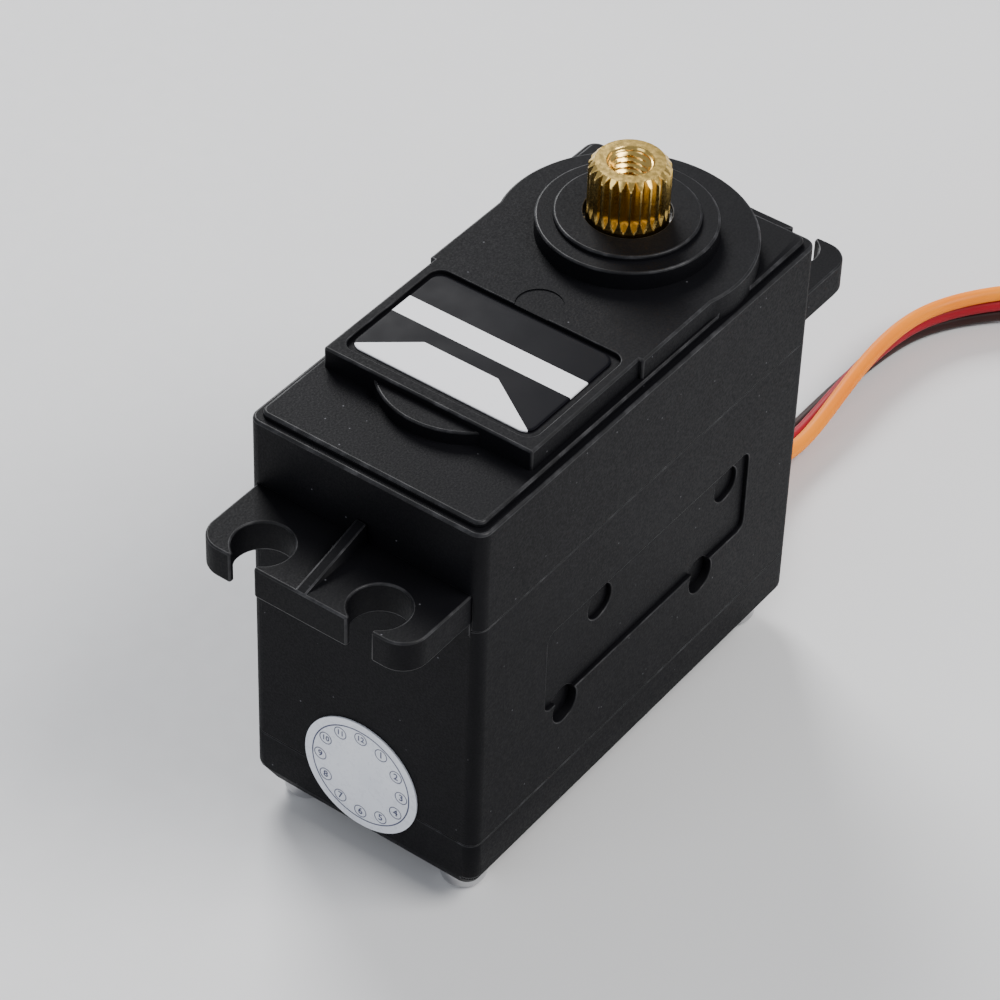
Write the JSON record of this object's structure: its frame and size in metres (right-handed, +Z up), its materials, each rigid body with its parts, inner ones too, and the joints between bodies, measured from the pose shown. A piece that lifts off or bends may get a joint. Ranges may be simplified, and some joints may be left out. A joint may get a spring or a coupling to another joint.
{
  "type": "hobby servo motor",
  "caption": "Geared rotary servo in a flanged plastic case, with a splined metal output shaft, a position sensor and a flat three-wire lead that ends in a socket",
  "frame": {"origin": "centre of the footprint of the case and lugs, at the undersides of the four case screw heads, which are the part's feet; the free cable is left out", "axes": "+X along the case to the end with the output shaft and the cable, +Y across the case, +Z up along the output shaft"},
  "size_m": [0.1395, 0.0261, 0.0448],
  "materials": {
    "case_plastic": "fine matte moulded glass-filled nylon, black",
    "screw_steel": "zinc-plated steel",
    "deck_label": "glossy printed film, black with silver stripes",
    "end_label": "satin white printed film",
    "cable_rubber": "soft black rubber",
    "steel": "ground bright steel",
    "magnet": "dark ferrite",
    "bronze": "sintered bronze",
    "brass": "cut brass, lightly polished",
    "copper": "enamelled copper wire",
    "bell_plastic": "ivory moulded plastic",
    "carbon": "pressed carbon",
    "sensor_plastic": "blue moulded plastic",
    "shaft_plastic": "white moulded plastic",
    "board": "green solder mask",
    "chip": "black moulded epoxy",
    "capacitor": "sleeved aluminium can",
    "ceramic": "tan ceramic",
    "lead": "red insulated lead",
    "signal_insulation": "satin orange insulation",
    "power_insulation": "satin red insulation",
    "ground_insulation": "satin brown insulation",
    "hank": "wound ribbon of orange, red and brown wires",
    "tie_plastic": "black nylon",
    "plug_plastic": "black moulded plastic",
    "contact": "gold-plated sprung contact"
  },
  "bodies": {
    "case": {"top_case": "case_plastic", "middle_case": "case_plastic", "bottom_cover": "case_plastic", "case_screws": "screw_steel", "top_label": "deck_label", "end_label": "end_label", "cable_grommet": "cable_rubber", "motor_can": "steel", "motor_magnets": "magnet", "motor_front_bush": "bronze", "motor_end_bell": "bell_plastic", "motor_rear_bush": "bronze", "motor_brushes": "carbon", "motor_terminals": "brass", "motor_screws": "screw_steel", "centre_pin": "steel", "rear_pin": "steel", "bearing_outer_race": "steel", "lower_bush": "bronze", "sensor_body": "sensor_plastic", "sensor_track": "carbon", "sensor_terminals": "steel", "circuit_board": "board", "control_chip": "chip", "motor_driver_chips": "chip", "capacitor": "capacitor", "small_components": "ceramic", "board_leads": "lead", "signal_wire": "signal_insulation", "power_wire": "power_insulation", "ground_wire": "ground_insulation", "cable_hank": "hank", "cable_tie": "tie_plastic", "plug_housing": "plug_plastic", "plug_contacts": "contact"},
    "rotor": {"motor_shaft": "steel", "motor_pinion": "brass", "armature_core": "steel", "armature_windings": "copper", "commutator": "copper"},
    "gear_one": {"first_gear": "brass"},
    "gear_two": {"second_gear": "steel"},
    "gear_three": {"third_gear": "brass"},
    "output": {"output_gear": "brass", "bearing_inner_race": "steel", "sensor_shaft": "shaft_plastic", "sensor_wiper": "brass"},
    "ball_set": {"bearing_balls": "steel", "bearing_cage": "brass"}
  },
  "joints": [
    {"name": "rotor_turn", "type": "hinge", "parent": "case", "child": "rotor", "pos_m": [-0.00855, 0, 0.03], "axis": [0, 0, 1], "range_deg": [-20290, 20290]},
    {"name": "gear_one_turn", "type": "hinge", "parent": "case", "child": "gear_one", "pos_m": [-0.0003, 0, 0.03], "axis": [0, 0, 1], "range_deg": [-4058, 4058]},
    {"name": "gear_two_turn", "type": "hinge", "parent": "case", "child": "gear_two", "pos_m": [-0.00855, 0, 0.03], "axis": [0, 0, 1], "range_deg": [-1015, 1015]},
    {"name": "gear_three_turn", "type": "hinge", "parent": "case", "child": "gear_three", "pos_m": [-0.0003, 0, 0.03], "axis": [0, 0, 1], "range_deg": [-254, 254]},
    {"name": "output_turn", "type": "hinge", "parent": "case", "child": "output", "pos_m": [0.0102, 0, 0.03], "axis": [0, 0, 1], "range_deg": [-90, 90]},
    {"name": "ball_set_turn", "type": "hinge", "parent": "case", "child": "ball_set", "pos_m": [0.0102, 0, 0.03], "axis": [0, 0, 1], "range_deg": [-39, 39]}
  ],
  "couplings": [
    {"joint": "gear_one_turn", "follows": "rotor_turn", "ratio": -0.2},
    {"joint": "gear_two_turn", "follows": "rotor_turn", "ratio": 0.05},
    {"joint": "gear_three_turn", "follows": "rotor_turn", "ratio": -0.0125},
    {"joint": "output_turn", "follows": "rotor_turn", "ratio": 0.0044355},
    {"joint": "ball_set_turn", "follows": "rotor_turn", "ratio": 0.0018851}
  ]
}
